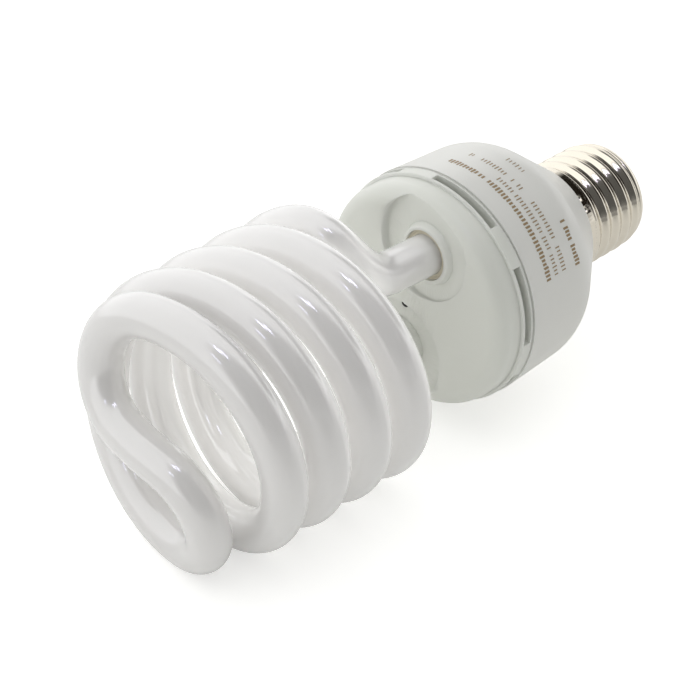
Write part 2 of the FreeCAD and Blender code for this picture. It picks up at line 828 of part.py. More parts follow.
def make_input_choke_winding():
    """Winding between the drum's cheeks."""
    y, z = spot(INPUT_CHOKE_SPOT)
    k = ring_scale()
    low = BOARD_TOP + DRUM_CHEEK
    high = BOARD_TOP + DRUM_LEN - DRUM_CHEEK
    ring = rod(low, high, (DRUM_R - 0.3) * k, y, z)
    return ring.cut(rod(low - 1, high + 1, DRUM_CORE_R * k, y, z))


def make_small_resistors():
    """Drive resistors on the board."""
    parts = [lying_part(p[:2], 3.4, 0.9, p[2]) for p in RESISTOR_SPOTS]
    return Part.makeCompound(parts)


def make_diac():
    """Starting diode."""
    return lying_part(DIAC_SPOT, 3.2, 0.9, 75)


def post_centres():
    """Places of the four wire posts, two for each leg."""
    first = [V(0, *spot(place)) for place in POST_SPOTS]
    return first + [V(0, -p.y, -p.z) for p in first]


def make_wire_posts():
    """Square posts on the board's front side."""
    posts = []
    for p in post_centres():
        posts.append(block(BOARD_X - POST_LEN, BOARD_X, p.y, p.z, POST_WIDTH, POST_WIDTH))
    return Part.makeCompound(posts)


def make_tube_lead_wires():
    """Filament wires from the legs' ends to the posts."""
    wires = []
    end = leg_axis(LEG_END)
    for p in post_centres()[:2]:
        out = V(LEG_END, p.y - end.y, p.z - end.z)
        out.x = 0
        out.normalize()
        start = end + out * (TUBE_R * 0.45) + V(0.25, 0, 0)
        mid = start + V(2.2, 0, 0) + out * 0.8
        stop = V(BOARD_X - 2.2, p.y, p.z) - out * (POST_WIDTH / 2 + LEAD_R * 0.6)
        wires.extend(both_legs(thin_wire([start, mid, stop], LEAD_R)))
    return Part.makeCompound(wires)


def make_live_wire():
    """Supply wire from the board to the centre contact."""
    y, z = spot(LIVE_SPOT)
    stop_x = SHELL_END - 0.15
    high = BOARD_TOP + FUSE_LEN
    points = [
        V(high + 0.2, y, z), V(high + 3, y, z),
        on_circle(-8, CAN_R + 1.44, 216.4), on_circle(0, 7.77, 214.5),
        V(9, -2.5, -1.5), V(stop_x - 3, 0, 0), V(stop_x, 0, 0)]
    return thin_wire(points, WIRE_R)


def make_fuse_resistor():
    """Fusible resistor that stands on the board under the live wire."""
    y, z = spot(LIVE_SPOT)
    body = rod(BOARD_TOP, BOARD_TOP + FUSE_LEN, FUSE_R, y, z)
    return rounded(body, [(BOARD_TOP + FUSE_LEN, FUSE_R)], 0.5)


def make_neutral_wire():
    """Supply wire from the board to the inside of the cap."""
    y, z = spot(NEUTRAL_SPOT)
    inside = BOSS_BORE_R - WIRE_R
    touch_r = ROOT_R - SHELL_WALL - WIRE_R * 0.9
    points = [
        V(BOARD_TOP, y, z), V(BOARD_TOP + 8, y, z),
        on_circle(-6, CAN_R + 1.73, -9.5), on_circle(2, inside - 0.34, -14.8),
        on_circle(BOSS_LEN + 0.2, inside + 0.02, -17.9),
        on_circle(BOSS_LEN + 2.2, touch_r, -20)]
    return thin_wire(points, WIRE_R)


MAKERS = {
    "spiral_tube": make_spiral_tube,
    "tube_holder": make_tube_holder,
    "housing_cup": make_housing_cup,
    "screw_shell": make_screw_shell,
    "cap_insulator": make_cap_insulator,
    "centre_contact": make_centre_contact,
    "leg_cement": make_leg_cement,
    "circuit_board": make_circuit_board,
    "choke_core": make_choke_core,
    "choke_bobbin": make_choke_bobbin,
    "choke_winding": make_choke_winding,
    "drive_toroid": make_drive_toroid,
    "toroid_windings": make_toroid_windings,
    "bulk_capacitor": make_bulk_capacitor,
    "bulk_capacitor_seal": make_bulk_capacitor_seal,
    "resonance_capacitor": make_resonance_capacitor,
    "coupling_capacitor": make_coupling_capacitor,
    "switch_transistors": make_switch_transistors,
    "rectifier_diodes": make_rectifier_diodes,
    "input_choke": make_input_choke,
    "input_choke_winding": make_input_choke_winding,
    "fuse_resistor": make_fuse_resistor,
    "small_resistors": make_small_resistors,
    "diac": make_diac,
    "wire_posts": make_wire_posts,
    "tube_lead_wires": make_tube_lead_wires,
    "live_wire": make_live_wire,
    "neutral_wire": make_neutral_wire,
}


def main():
    """Build every node and write it as its own STEP file."""
    os.makedirs(PARTS, exist_ok=True)
    for name, maker in MAKERS.items():
        shape = maker()
        shape.exportStep(PARTS + "/" + name + ".step")


main()
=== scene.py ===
"""Spiral energy saving bulb: glass, cement beads, print, finishes, studio and camera."""
import json
import logging
import math
from dataclasses import dataclass
from enum import Enum
from typing import Dict, List, Optional, Sequence, Tuple, Union

import bmesh
import bpy
from mathutils import Vector
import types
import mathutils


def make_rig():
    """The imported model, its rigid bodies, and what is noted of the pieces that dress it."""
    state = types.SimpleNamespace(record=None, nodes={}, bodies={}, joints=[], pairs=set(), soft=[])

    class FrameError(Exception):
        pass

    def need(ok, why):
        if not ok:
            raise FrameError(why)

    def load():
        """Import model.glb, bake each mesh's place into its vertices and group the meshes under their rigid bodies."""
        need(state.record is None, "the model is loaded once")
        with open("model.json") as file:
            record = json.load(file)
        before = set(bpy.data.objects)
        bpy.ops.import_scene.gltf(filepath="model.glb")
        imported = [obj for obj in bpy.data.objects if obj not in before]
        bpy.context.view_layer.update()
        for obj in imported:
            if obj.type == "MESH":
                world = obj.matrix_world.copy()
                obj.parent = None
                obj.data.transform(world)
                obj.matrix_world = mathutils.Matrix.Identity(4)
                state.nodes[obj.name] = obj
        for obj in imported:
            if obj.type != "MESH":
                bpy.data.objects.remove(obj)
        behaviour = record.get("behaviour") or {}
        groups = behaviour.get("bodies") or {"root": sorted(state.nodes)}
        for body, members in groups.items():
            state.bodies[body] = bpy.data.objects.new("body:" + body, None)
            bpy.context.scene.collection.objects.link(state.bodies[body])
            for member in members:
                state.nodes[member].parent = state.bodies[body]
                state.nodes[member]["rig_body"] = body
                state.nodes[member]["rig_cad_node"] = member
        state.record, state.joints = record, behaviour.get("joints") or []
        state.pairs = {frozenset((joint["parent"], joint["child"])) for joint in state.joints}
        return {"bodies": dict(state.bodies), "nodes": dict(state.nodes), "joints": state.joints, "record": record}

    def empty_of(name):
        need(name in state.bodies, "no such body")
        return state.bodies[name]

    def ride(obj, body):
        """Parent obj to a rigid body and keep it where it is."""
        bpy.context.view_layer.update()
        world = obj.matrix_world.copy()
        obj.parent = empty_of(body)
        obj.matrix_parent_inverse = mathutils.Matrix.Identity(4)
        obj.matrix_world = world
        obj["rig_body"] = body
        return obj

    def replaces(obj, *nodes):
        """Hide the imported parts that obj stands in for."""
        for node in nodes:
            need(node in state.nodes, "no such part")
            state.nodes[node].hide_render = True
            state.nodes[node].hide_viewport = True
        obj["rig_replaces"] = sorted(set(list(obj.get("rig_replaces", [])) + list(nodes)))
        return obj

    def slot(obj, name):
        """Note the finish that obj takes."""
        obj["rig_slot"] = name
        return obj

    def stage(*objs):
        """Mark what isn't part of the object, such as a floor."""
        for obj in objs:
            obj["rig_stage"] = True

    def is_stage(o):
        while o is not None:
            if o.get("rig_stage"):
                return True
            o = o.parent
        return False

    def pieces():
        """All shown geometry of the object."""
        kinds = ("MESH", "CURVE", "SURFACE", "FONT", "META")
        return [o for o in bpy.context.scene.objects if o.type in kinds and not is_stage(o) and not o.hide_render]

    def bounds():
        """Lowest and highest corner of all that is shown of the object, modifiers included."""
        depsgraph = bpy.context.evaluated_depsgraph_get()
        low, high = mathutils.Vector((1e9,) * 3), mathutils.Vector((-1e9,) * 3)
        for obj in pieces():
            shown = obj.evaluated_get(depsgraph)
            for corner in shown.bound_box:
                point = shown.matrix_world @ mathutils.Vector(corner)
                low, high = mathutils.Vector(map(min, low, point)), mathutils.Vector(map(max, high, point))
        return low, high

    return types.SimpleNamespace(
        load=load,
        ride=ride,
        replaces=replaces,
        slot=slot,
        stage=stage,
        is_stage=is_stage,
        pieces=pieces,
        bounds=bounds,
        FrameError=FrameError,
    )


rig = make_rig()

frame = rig.load()
LOG = logging.getLogger("spiral_bulb")

Number = Union[int, float]
Colour = Tuple[float, float, float]
Way = Tuple[float, float, float]
Socket = bpy.types.NodeSocket
Feed = Union["Wire", Socket, Number, Tuple[float, ...], bpy.types.Material]

MM = 0.001
HALF_LEAD = 11.817
TIP_X = -114.945
TIP_ANGLE = 82.68
NOISE_SCALE = 160.0
NOISE_DETAIL = 3.0
BLACK: Colour = (0.0, 0.0, 0.0)
SHADOW: Colour = (0.03, 0.03, 0.03)


class Axis(Enum):
    """Component of a vector socket."""

    X = 0
    Y = 1
    Z = 2


class Ray(Enum):
    """Kind of ray that a material or the world tells apart."""

    CAMERA = "Is Camera Ray"
    SHARP = "Is Glossy Ray"


class Graph:
    """A node tree that grows through one method."""

    def __init__(self, tree: bpy.types.NodeTree) -> None:
        """Hold the tree."""
        self.tree = tree

    def feed(self, socket: Socket, source: Feed) -> None:
        """Link an input to its source, or set its value.

        Args:
            socket: The input.
            source: A wire, an output socket or a plain value.
        """
        output = source.socket if isinstance(source, Wire) else source
        if isinstance(output, bpy.types.NodeSocket):
            self.tree.links.new(output, socket)
        else:
            socket.default_value = output

    def node(
            self, kind: str, settings: Optional[Dict[str, object]] = None,
            sockets: Optional[Dict[Union[int, str], Feed]] = None) -> bpy.types.Node:
        """Add a node.

        Args:
            kind: The node's type.
            settings: Its own settings, which are set first.
            sockets: What feeds its inputs, by name or place.

        Returns:
            The node.
        """
        made = self.tree.nodes.new(kind)
        for name, value in (settings or {}).items():
            setattr(made, name, value)
        for key, source in (sockets or {}).items():
            self.feed(made.inputs[key], source)
        return made

    def constant(self, value: Number) -> "Wire":
        """Add a value node."""
        made = self.node("ShaderNodeValue")
        made.outputs[0].default_value = value
        return Wire(self, made.outputs[0])

    def ray(self, kind: Ray) -> "Wire":
        """Add a value that is 1 for one kind of ray and 0 for the others."""
        return Wire(self, self.node("ShaderNodeLightPath").outputs[kind.value])


class Wire:
    """A node value that takes part in sums with plain operators."""

    def __init__(self, graph: Graph, socket: Socket) -> None:
        """Hold an output socket and the graph it belongs to."""
        self.graph = graph
        self.socket = socket

    def _math(self, kind: str, *values: Union["Wire", Number], clamp: bool = False) -> "Wire":
        """Add a math node.

        Args:
            kind: The node's operation.
            values: Its inputs, in order.
            clamp: Whether the result is kept between 0 and 1.

        Returns:
            The node's result.
        """
        settings = {"operation": kind, "use_clamp": clamp}
        made = self.graph.node("ShaderNodeMath", settings, dict(enumerate(values)))
        return Wire(self.graph, made.outputs[0])

    def __add__(self, other: Union["Wire", Number]) -> "Wire":
        """Sum."""
        return self._math("ADD", self, other)

    def __radd__(self, other: Number) -> "Wire":
        """Sum with the number first."""
        return self._math("ADD", other, self)

    def __sub__(self, other: Union["Wire", Number]) -> "Wire":
        """Difference."""
        return self._math("SUBTRACT", self, other)

    def __rsub__(self, other: Number) -> "Wire":
        """Difference from a number."""
        return self._math("SUBTRACT", other, self)

    def __mul__(self, other: Union["Wire", Number]) -> "Wire":
        """Product."""
        return self._math("MULTIPLY", self, other)

    def __rmul__(self, other: Number) -> "Wire":
        """Product with the number first."""
        return self._math("MULTIPLY", other, self)

    def __truediv__(self, other: Union["Wire", Number]) -> "Wire":
        """Quotient."""
        return self._math("DIVIDE", self, other)

    def __rtruediv__(self, other: Number) -> "Wire":
        """Quotient of a number by this."""
        return self._math("DIVIDE", other, self)

    def clamp(self) -> "Wire":
        """Keep the value between 0 and 1."""
        return self._math("ADD", self, 0.0, clamp=True)

    def angle_from(self, across: "Wire") -> "Wire":
        """Angle, in radians, of the point (across, self) about the origin."""
        return self._math("ARCTAN2", self, across)

    def wrap(self, span: float) -> "Wire":
        """Value brought into one span about zero by whole steps."""
        return self._math("WRAP", self, span / 2, -span / 2)

    def root(self) -> "Wire":
        """Square root."""
        return self._math("SQRT", self)

    def size(self) -> "Wire":
        """Value without its sign."""
        return self._math("ABSOLUTE", self)

    def sign(self) -> "Wire":
        """1 above zero, -1 below it."""
        return self._math("SIGN", self)

    def above(self, limit: Union["Wire", Number]) -> "Wire":
        """1 where the value is more than a limit, else 0."""
        return self._math("GREATER_THAN", self, limit)

    def cosine(self) -> "Wire":
        """Cosine of an angle in radians."""
        return self._math("COSINE", self)

    def sine(self) -> "Wire":
        """Sine of an angle in radians."""
        return self._math("SINE", self)


def toward(parts: Sequence[Wire], way: Sequence[float]) -> Wire:
    """How far a point or a ray lies along one way.

    Args:
        parts: Its three components.
        way: The way, of any length.

    Returns:
        Its share along the way's unit vector.
    """
    unit = Vector(way).normalized()
    return parts[0] * unit.x + parts[1] * unit.y + parts[2] * unit.z


class ShaderKit(Graph):
    """Builds one procedural material."""

    def __init__(self, name: str) -> None:
        """Start a material with a Principled shader."""
        self.material = bpy.data.materials.new(name)
        self.material.use_nodes = True
        super().__init__(self.material.node_tree)
        self.shader = self.tree.nodes["Principled BSDF"]

    def position(self) -> Socket:
        """Object coordinates."""
        return self.node("ShaderNodeTexCoord").outputs["Object"]

    def component(self, axis: Axis) -> Wire:
        """One component of the object coordinates, in metres."""
        split = self.node("ShaderNodeSeparateXYZ", sockets={0: self.position()})
        return Wire(self, split.outputs[axis.value])

    def noise(self) -> Wire:
        """Fine noise from 0 to 1 on the object coordinates."""
        sockets = {"Scale": NOISE_SCALE, "Detail": NOISE_DETAIL, "Vector": self.position()}
        return Wire(self, self.node("ShaderNodeTexNoise", sockets=sockets).outputs[0])

    def mix(self, factor: Wire, low: Union[Colour, Socket], high: Colour) -> Socket:
        """Blend two colours.

        Args:
            factor: 0 gives the first colour, 1 the second.
            low: First colour, or a socket that carries it.
            high: Second colour.

        Returns:
            The colour socket.
        """
        first = low if isinstance(low, bpy.types.NodeSocket) else (*low, 1.0)
        sockets = {0: factor, 6: first, 7: (*high, 1.0)}
        return self.node("ShaderNodeMix", {"data_type": "RGBA"}, sockets).outputs[2]

    def shade(self, values: Dict[str, Feed]) -> None:
        """Set or link inputs of the Principled shader, by name."""
        for name, value in values.items():
            self.feed(self.shader.inputs[name], value)


@dataclass(frozen=True)
class PaintedHoleShade:
    """A small hole along X, in metres, whose wall gets painted shade: its base colour is darkened."""

    front: float
    y: float
    z: float
    radius: float
    margin: float = 1.08
    soft_rim: float = 0.00004
    soft_front: float = 0.0001

    def mask(self, kit: ShaderKit) -> Wire:
        """Value that is 1 on the hole's wall, where the shade is painted.

        Args:
            kit: The material's kit.

        Returns:
            The mask.
        """
        off_y = kit.component(Axis.Y) - self.y
        off_z = kit.component(Axis.Z) - self.z
        reach = (off_y * off_y + off_z * off_z).root()
        within = ((self.radius * self.margin - reach) / self.soft_rim).clamp()
        behind = ((kit.component(Axis.X) - self.front) / self.soft_front).clamp()
        return within * behind


@dataclass(frozen=True)
class PaintedGlow:
    """Painted glow: emission on the coil's inner and rear sides, standing in for light that comes through the glass,
    in metres.
    """

    strength: float
    colour: Colour = (1.0, 1.0, 0.97)
    coil_r: float = 0.0264
    inner_soft: float = 0.003
    inner_share: float = 0.62
    rear_start: float = 0.0008
    rear_soft: float = 0.0022
    tip_end: float = -0.112
    tip_soft: float = 0.012
    leg_end: float = -0.058
    leg_soft: float = 0.006

    def mask(self, kit: ShaderKit) -> Wire:
        """Strength of the painted glow over the coil.

        Args:
            kit: The material's kit.

        Returns:
            The strength, with 0 on the tip and the legs.
        """
        x, y, z = (kit.component(axis) for axis in Axis)
        pitch = HALF_LEAD * MM
        turned = (z.angle_from(y) - math.radians(TIP_ANGLE)) * (pitch / math.pi)
        across = (x - TIP_X * MM - turned).wrap(pitch)
        inner = ((self.coil_r - (y * y + z * z).root()) / self.inner_soft).clamp()
        rear = ((across - self.rear_start) / self.rear_soft).clamp()
        deep = 1 - (1 - inner * self.inner_share) * (1 - rear)
        past_tip = ((x - self.tip_end) / self.tip_soft).clamp()
        before_legs = ((self.leg_end - x) / self.leg_soft).clamp()
        return deep * past_tip * before_legs * self.strength


@dataclass(frozen=True)
class Finish:
    """One surface finish; colours are linear.

    coat_bend is the coat's index of refraction. milk is the share of light that spreads under
    the surface, and milk_depth how far, in metres.
    """

    name: str
    slot: str
    colour: Colour
    second: Colour
    roughness: float = 0.4
    spread: float = 0.03
    metallic: float = 0.0
    coat: float = 0.0
    coat_roughness: float = 0.05
    coat_bend: float = 1.5
    milk: float = 0.0
    milk_depth: float = 0.003
    bore: Optional[PaintedHoleShade] = None
    daylight: Optional[PaintedGlow] = None

    def build(self) -> bpy.types.Material:
        """Make the material.

        Returns:
            The procedural material.
        """
        kit = ShaderKit(self.name)
        noise = kit.noise()
        paint = kit.mix(noise.clamp(), self.colour, self.second)
        # Painted shade: darken the base colour on the hole's wall.
        if self.bore:
            paint = kit.mix(self.bore.mask(kit), paint, SHADOW)
        kit.shade({
            "Base Color": paint, "Roughness": (noise - 0.5) * self.spread * 2 + self.roughness,
            "Metallic": self.metallic, "Coat Weight": self.coat,
            "Coat Roughness": self.coat_roughness, "Coat IOR": self.coat_bend})
        if self.milk > 0:
            kit.shade({
                "Subsurface Weight": self.milk, "Subsurface Scale": self.milk_depth,
                "Subsurface Radius": (1.0, 1.0, 1.0)})
        # Painted light: the glass glows on its inner and rear sides, where light through the glass would brighten it.
        if self.daylight:
            glow = kit.mix(self.daylight.mask(kit), BLACK, self.daylight.colour)
            kit.shade({"Emission Color": glow, "Emission Strength": 1.0})
        return kit.material


# The glass takes a painted glow on the coil's inner and rear sides.
GLASS = Finish(
    "pearl glass", "glass_tube", (0.795, 0.785, 0.775), (0.78, 0.77, 0.76), 0.5, 0.03,
    coat=1.0, coat_roughness=0.10, coat_bend=2.2, milk=1.0, milk_depth=0.008,
    daylight=PaintedGlow(0.27))
# The cover's small hole gets painted shade on its wall.
COVER = Finish(
    "cover plastic", "cover_plastic", (0.80, 0.815, 0.76), (0.785, 0.80, 0.745), 0.33, 0.04,
    milk=0.5, milk_depth=0.002, bore=PaintedHoleShade(-0.0444, 0.00246, -0.0026, 0.0009))
HOUSING = Finish(
    "housing plastic", "housing_plastic", (0.83, 0.83, 0.79), (0.81, 0.81, 0.77), 0.36, 0.04,
    milk=0.3)
NICKEL = Finish(
    "nickel", "cap_metal", (0.72, 0.675, 0.59), (0.67, 0.625, 0.535), 0.12, 0.03, metallic=1.0)
INSULATOR = Finish(
    "insulator", "black_glass", (0.012, 0.012, 0.014), (0.02, 0.02, 0.02), 0.18, 0.04, coat=0.6)
TIN = Finish(
    "tin", "contact_metal", (0.55, 0.54, 0.50), (0.44, 0.43, 0.40), 0.35, 0.08, metallic=1.0)
SILICONE = Finish("silicone", "silicone", (0.76, 0.71, 0.58), (0.70, 0.65, 0.52), 0.5, 0.05)
LAMINATE = Finish("laminate", "board", (0.20, 0.12, 0.045), (0.15, 0.09, 0.035), 0.6, 0.05)
FERRITE = Finish("ferrite", "ferrite", (0.02, 0.02, 0.022), (0.03, 0.03, 0.03), 0.55, 0.06)
NYLON = Finish("nylon", "nylon", (0.02, 0.02, 0.02), (0.03, 0.03, 0.03), 0.4, 0.05)
COPPER = Finish(
    "copper", "copper", (0.55, 0.18, 0.07), (0.42, 0.13, 0.05), 0.3, 0.05, metallic=1.0)
CAN = Finish("can sleeve", "can_metal", (0.02, 0.025, 0.05), (0.03, 0.035, 0.06), 0.3, 0.05)
SEAL = Finish("seal", "seal_rubber", (0.01, 0.01, 0.01), (0.015, 0.015, 0.015), 0.7, 0.05)
FILM = Finish(
    "film dip", "film_dip", (0.32, 0.04, 0.02), (0.26, 0.03, 0.015), 0.25, 0.04, coat=0.5)
EPOXY = Finish("epoxy", "epoxy", (0.012, 0.012, 0.013), (0.02, 0.02, 0.02), 0.5, 0.05)
LACQUER = Finish(
    "tan lacquer", "resistor_paint", (0.5, 0.34, 0.15), (0.44, 0.3, 0.12), 0.35, 0.04)
DIAC = Finish(
    "blue lacquer", "diac_glass", (0.07, 0.13, 0.32), (0.06, 0.1, 0.26), 0.25, 0.04, coat=0.5)
LEADS = Finish(
    "bare wire", "lead_metal", (0.6, 0.6, 0.58), (0.5, 0.5, 0.48), 0.3, 0.05, metallic=1.0)
RED_SKIN = Finish(
    "red skin", "wire_skin_red", (0.32, 0.015, 0.012), (0.26, 0.012, 0.01), 0.45, 0.05)
BLACK_SKIN = Finish(
    "black skin", "wire_skin_black", (0.012, 0.012, 0.012), (0.02, 0.02, 0.02), 0.45, 0.05)
INK = Finish("brown ink", "housing_plastic", (0.36, 0.26, 0.14), (0.30, 0.21, 0.11), 0.5, 0.05)


class Palette:
    """Makes each material once."""

    def __init__(self) -> None:
        """Start with no materials."""
        self.made: Dict[str, bpy.types.Material] = {}

    def get(self, finish: Finish) -> bpy.types.Material:
        """Return the material of a finish.

        Args:
            finish: The finish.

        Returns:
            Its material, built on first use.
        """
        if finish.name not in self.made:
            self.made[finish.name] = finish.build()
        return self.made[finish.name]

    def dress(self, obj: bpy.types.Object, finish: Finish) -> bpy.types.Object:
        """Give an object one finish.

        Args:
            obj: The object.
            finish: Its finish.

        Returns:
            The same object.
        """
        obj.data.materials.clear()
        obj.data.materials.append(self.get(finish))
        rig.slot(obj, finish.slot)
        return obj


def link(mesh: bpy.types.Mesh, name: str) -> bpy.types.Object:
    """Put a mesh in the scene.

    Args:
        mesh: The mesh, placed in its own points.
        name: The object's name.

    Returns:
        The object, at the origin.
    """
    obj = bpy.data.objects.new(name, mesh)
    bpy.context.scene.collection.objects.link(obj)
    return obj


def shade_smooth(mesh: bpy.types.Mesh) -> None:
    """Mark every face of a mesh as smooth."""
    mesh.polygons.foreach_set("use_smooth", [True] * len(mesh.polygons))


def sheet(name: str, corners: Sequence[Way]) -> bpy.types.Mesh:
    """Make a mesh of one face with four corners.

    Args:
        name: Mesh name.
        corners: Its corners, in metres.

    Returns:
        The mesh.
    """
    mesh = bpy.data.meshes.new(name)
    mesh.from_pydata(corners, [], [(0, 1, 2, 3)])
    return mesh


def turn_outward(mesh: bpy.types.Mesh) -> None:
    """Point every face of a closed mesh outward."""
    tidy = bmesh.new()
    tidy.from_mesh(mesh)
    bmesh.ops.recalc_face_normals(tidy, faces=tidy.faces)
    tidy.to_mesh(mesh)
    tidy.free()


class Recipe(Graph):
    """A Geometry Nodes group with named inputs, which makes plain meshes."""

    def __init__(self, name: str, inputs: Dict[str, Number], takes_path: bool = False) -> None:
        """Start the group.

        Args:
            name: The group's name.
            inputs: Its named inputs with their first values; an int makes a whole number.
            takes_path: Whether the mesh that it runs on comes in too, as Path.
        """
        super().__init__(bpy.data.node_groups.new(name, "GeometryNodeTree"))
        face = self.tree.interface
        if takes_path:
            face.new_socket("Path", in_out="INPUT", socket_type="NodeSocketGeometry")
        for key, value in inputs.items():
            kind = "NodeSocketInt" if isinstance(value, int) else "NodeSocketFloat"
            item = face.new_socket(key, in_out="INPUT", socket_type=kind)
            item.default_value = value
        face.new_socket("Geometry", in_out="OUTPUT", socket_type="NodeSocketGeometry")
        self.pins = {s.name: Wire(self, s) for s in self.node("NodeGroupInput").outputs}

    def index(self) -> Wire:
        """Number of each point, from 0."""
        return Wire(self, self.node("GeometryNodeInputIndex").outputs[0])

    def vector(self, x: Feed, y: Feed = 0.0, z: Feed = 0.0) -> Wire:
        """Join three values to a vector."""
        made = self.node("ShaderNodeCombineXYZ", sockets={0: x, 1: y, 2: z})
        return Wire(self, made.outputs[0])

    def finish(self, shape: Socket, material: bpy.types.Material) -> None:
        """End the group.

        Args:
            shape: What the group has made.
            material: Its material.
        """
        solid = self.node("GeometryNodeRealizeInstances", sockets={0: shape})
        paint = self.node(
            "GeometryNodeSetMaterial", sockets={"Geometry": solid.outputs[0], "Material": material})
        self.node("NodeGroupOutput", sockets={0: paint.outputs[0]})

    def make(self, base: bpy.types.Mesh, values: Dict[str, Number]) -> bpy.types.Mesh:
        """Run the group once.

        Args:
            base: The mesh that it runs on.
            values: Its named inputs.

        Returns:
            The plain mesh that comes out.
        """
        obj = link(base, base.name)
        tool = obj.modifiers.new("recipe", "NODES")
        tool.node_group = self.tree
        for item in self.tree.interface.items_tree:
            if item.name in values:
                tool[item.identifier] = values[item.name]
        shown = obj.evaluated_get(bpy.context.evaluated_depsgraph_get())
        made = bpy.data.meshes.new_from_object(shown)
        obj.modifiers.remove(tool)
        bpy.data.objects.remove(obj)
        return made


